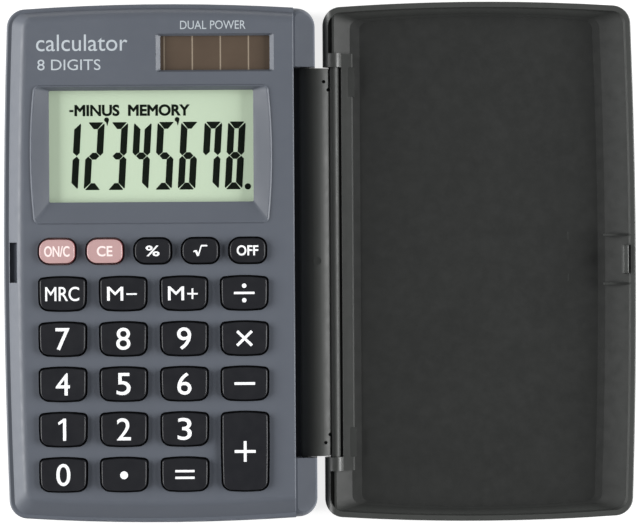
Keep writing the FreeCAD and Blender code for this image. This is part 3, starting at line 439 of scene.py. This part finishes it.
# ---------------------------------------------------------------- key legends
def key_surface(node):
    """Centre of a key in mm, and the height of its dished top as a function of place."""
    low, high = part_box(node)
    centre = middle(node) / MM
    small = (high[1] - low[1]) / MM < 8
    half, dish, top = (3.95 if small else 5.125), 0.14, high[2] / MM

    def height(x, y):
        return top - dish + dish * ((x - centre.x) / half) ** 2
    return centre.x, centre.y, height


def make_legends():
    """Printing on the keys: white, and a warmer pale tone on the two pink ones."""
    digits = {"key_%d" % n: str(n) for n in range(10) if n != 1}
    for node, text in digits.items():
        cx, cy, height = key_surface(node)
        obj = lettering("legend_" + node[4:], text, cx, cy + 0.05, 3.15, 4.95, 0.03, height)
        finish_piece(obj, node, "ink")
    words = {"key_memory_recall": ("MRC", 7.6, 3.2, 0.0), "key_memory_minus": ("M", 3.6, 3.1, -1.75),
             "key_memory_plus": ("M", 3.6, 3.1, -1.75), "key_on_clear": ("ON/C", 5.7, 2.4, 0.0),
             "key_clear_entry": ("CE", 3.5, 2.35, 0.0), "key_percent": ("%", 3.1, 2.4, 0.0),
             "key_off": ("OFF", 4.8, 2.3, 0.0)}
    for node, (text, width, tall, dx) in words.items():
        cx, cy, height = key_surface(node)
        weight = 0.06 if tall < 2.5 else 0.03
        obj = lettering("legend_" + node[4:], text, cx + dx, cy, width, tall, weight, height)
        ink, slot = ("pale_ink", "pink_key") if node in PINK_KEYS else ("ink", "dark_key")
        finish_piece(obj, node, ink)
    signs = {
        "key_divide": [bar(-2.3, 0, 2.3, 0, 0.52), disc(0, 1.62, 0.5), disc(0, -1.62, 0.5)],
        "key_times": [bar(-1.65, -1.6, 1.65, 1.6, 0.62), bar(-1.65, 1.6, 1.65, -1.6, 0.62)],
        "key_minus": [bar(-2.3, 0, 2.3, 0, 0.6)],
        "key_plus": [bar(-2.35, 0, 2.35, 0, 0.64), bar(0, -2.3, 0, -0.32, 0.64), bar(0, 0.32, 0, 2.3, 0.64)],
        "key_equals": [bar(-2.15, 0.74, 2.15, 0.74, 0.52), bar(-2.15, -0.74, 2.15, -0.74, 0.52)],
        "key_point": [disc(0, -0.1, 0.88)],
        "key_1": [[(-0.02, -2.42), (0.68, -2.42), (0.68, 2.52), (0.12, 2.52), (-0.02, 2.34)],
                  [(-1.12, 1.62), (-0.95, 1.06), (0.30, 1.92), (0.12, 2.52)]],
        "key_root": [bar(-1.5, -0.25, -1.0, 0.05, 0.3), bar(-1.0, 0.05, -0.45, -1.15, 0.5),
                     bar(-0.45, -1.15, 0.25, 1.1, 0.3), bar(0.2, 1.1, 1.6, 1.1, 0.34)],
        "key_memory_minus": [bar(0.75, -0.1, 3.1, -0.1, 0.36)],
        "key_memory_plus": [bar(0.75, -0.1, 3.1, -0.1, 0.36), bar(1.92, -1.28, 1.92, -0.28, 0.4),
                            bar(1.92, 0.08, 1.92, 1.08, 0.4)],
    }
    for node, outlines in signs.items():
        cx, cy, height = key_surface(node)
        placed = [[(cx + x, cy + y) for x, y in outline] for outline in outlines]
        finish_piece(raised("sign_" + node[4:], placed, height, KEY_INK), node, "ink")


# ---------------------------------------------------------------- display
SEGMENTS = {"1": "bc", "2": "abged", "3": "abgcd", "4": "fgbc",
            "5": "afgcd", "6": "afgedc", "7": "fabc", "8": "abcdefg"}


def segment_outlines(w, h, tv, th, gap, cut):
    """The seven segments of a digit whose lower left corner is at (0, 0)."""
    m = h / 2
    top = [(cut * 0.6 + gap, h - cut * 0.2), (cut + gap, h),
           (w - cut - gap, h), (w - cut * 0.6 - gap, h - cut * 0.2),
           (w - tv - gap, h - th), (tv + gap, h - th)]
    upper_left = [(0, m + 0.75), (0, h - cut - gap), (cut * 0.3, h - cut * 0.45 - gap), (tv, h - th - gap),
                  (tv, m + th / 2 + gap), (tv * 0.42, m + gap)]
    bar_middle = [(tv * 0.5 + gap, m), (tv + gap, m + th / 2),
                  (w - tv - gap, m + th / 2), (w - tv * 0.5 - gap, m),
                  (w - tv - gap, m - th / 2), (tv + gap, m - th / 2)]
    flip_x = [(w - x, y) for x, y in upper_left]
    return {"a": top, "f": upper_left, "b": flip_x, "g": bar_middle, "d": [(x, h - y) for x, y in top],
            "e": [(x, h - y) for x, y in upper_left], "c": [(x, h - y) for x, y in flip_x]}


def make_display():
    """Segments, point, thousands marks and words of the display, on its front film."""
    centre = middle("display_window") / MM
    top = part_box("front_polariser")[1][2] / MM
    flat = lambda x, y: top
    width, height, pitch, slant = 3.95, 15.2, 5.27, math.tan(math.radians(3.3))
    shapes = segment_outlines(width, height, 1.5, 1.55, 0.06, 0.5)
    x_first, y_base = centre.x - 20.55, centre.y - 9.72
    outlines = []
    for place, digit in enumerate("12345678"):
        for segment in SEGMENTS[digit]:
            left_edge = x_first + place * pitch
            outlines.append([(left_edge + x + y * slant, y_base + y) for x, y in shapes[segment]])
    point_x, point_y = x_first + 7 * pitch + width + 1.25, y_base + 0.62
    outlines.append(disc(point_x, point_y, 0.7))
    for place in (1, 4):
        mark_x, mark_y = x_first + place * pitch + width + 1.28, y_base + height + 0.55
        outlines.append(disc(mark_x, mark_y, 0.54))
        outlines.append([(mark_x - 0.15, mark_y - 0.45), (mark_x + 0.15, mark_y - 1.45),
                         (mark_x + 0.52, mark_y - 0.1)])
    finish_piece(raised("display_segments", outlines, flat, FILM), "calculator", "segment")
    x_words, y_words = centre.x + 1.725, y_base + height + 2.65
    for name, text, x, wide in (("word_minus", "MINUS", -13.92, 10.1),
                                ("word_memory", "MEMORY", -0.05, 13.8)):
        obj = lettering("display_" + name, text, x + x_words, y_words, wide, 2.6, 0.13, flat, FILM)
        finish_piece(obj, "calculator", "segment")
    dash = [bar(x_words - 20.1, y_words - 0.1, x_words - 19.2, y_words - 0.1, 0.5)]
    finish_piece(raised("display_dash", dash, flat, FILM), "calculator", "segment")


def make_solar_cells():
    """A narrow strip and four cells, with pale lines between them."""
    low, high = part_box("solar_panel")
    margin = 0.2
    x0, x1 = low[0] / MM + margin, high[0] / MM - margin
    y0, y1 = low[1] / MM + margin, high[1] / MM - margin
    z, line_thick = high[2] / MM, 0.012
    first, pitch, line = 1.32, 6.28, 0.16
    flat = lambda x, y: z
    edges = [x0] + [first + pitch * i for i in range(4)] + [x1]
    cells = []
    for a, b in zip(edges, edges[1:]):
        cells.append([(a + line, y0), (b - line, y0), (b - line, y1), (a + line, y1)])
    lines = [[(x - line, y0), (x + line, y0), (x + line, y1), (x - line, y1)] for x in edges[1:-1]]
    finish_piece(raised("solar_cells", cells, flat, FILM), "calculator", "cell")
    finish_piece(raised("solar_cell_lines", lines, flat, line_thick), "calculator", "divider")


def make_labels():
    """Plain printing on the face."""
    flat = lambda x, y: Z_FACE
    low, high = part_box("solar_panel")
    solar_x = (low[0] + high[0]) / 2 / MM
    for name, text, x, y, wide, tall, weight in (
            ("label_power", "DUAL POWER", solar_x - 0.4, 53.15, 14.6, 1.9, 0.0),
            ("label_calculator", "calculator", -17.0, 49.3, 20.4, 3.7, 0.0),
            ("label_digits", "8 DIGITS", -19.9, 44.4, 14.1, 2.4, 0.0)):
        obj = lettering(name, text, x, y, wide, tall, weight, flat, FACE_INK)
        finish_piece(obj, "calculator", "label_ink")


def make_cover_marks():
    """Two faint moulding marks inside the cover."""
    flat = lambda x, y: Z_COVER_PANEL
    x, half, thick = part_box("cover")[1][0] / MM - 14.9, 0.8, 0.22
    outlines = [bar(x, y - half, x, y + half, thick, True) for y in (5.65, -3.8)]
    finish_piece(raised("cover_marks", outlines, flat, FILM), "cover", "link")


make_camera()
make_floor()
make_lights()
make_materials()
paint_nodes()
make_legends()
make_display()
make_solar_cells()
make_labels()
make_cover_marks()
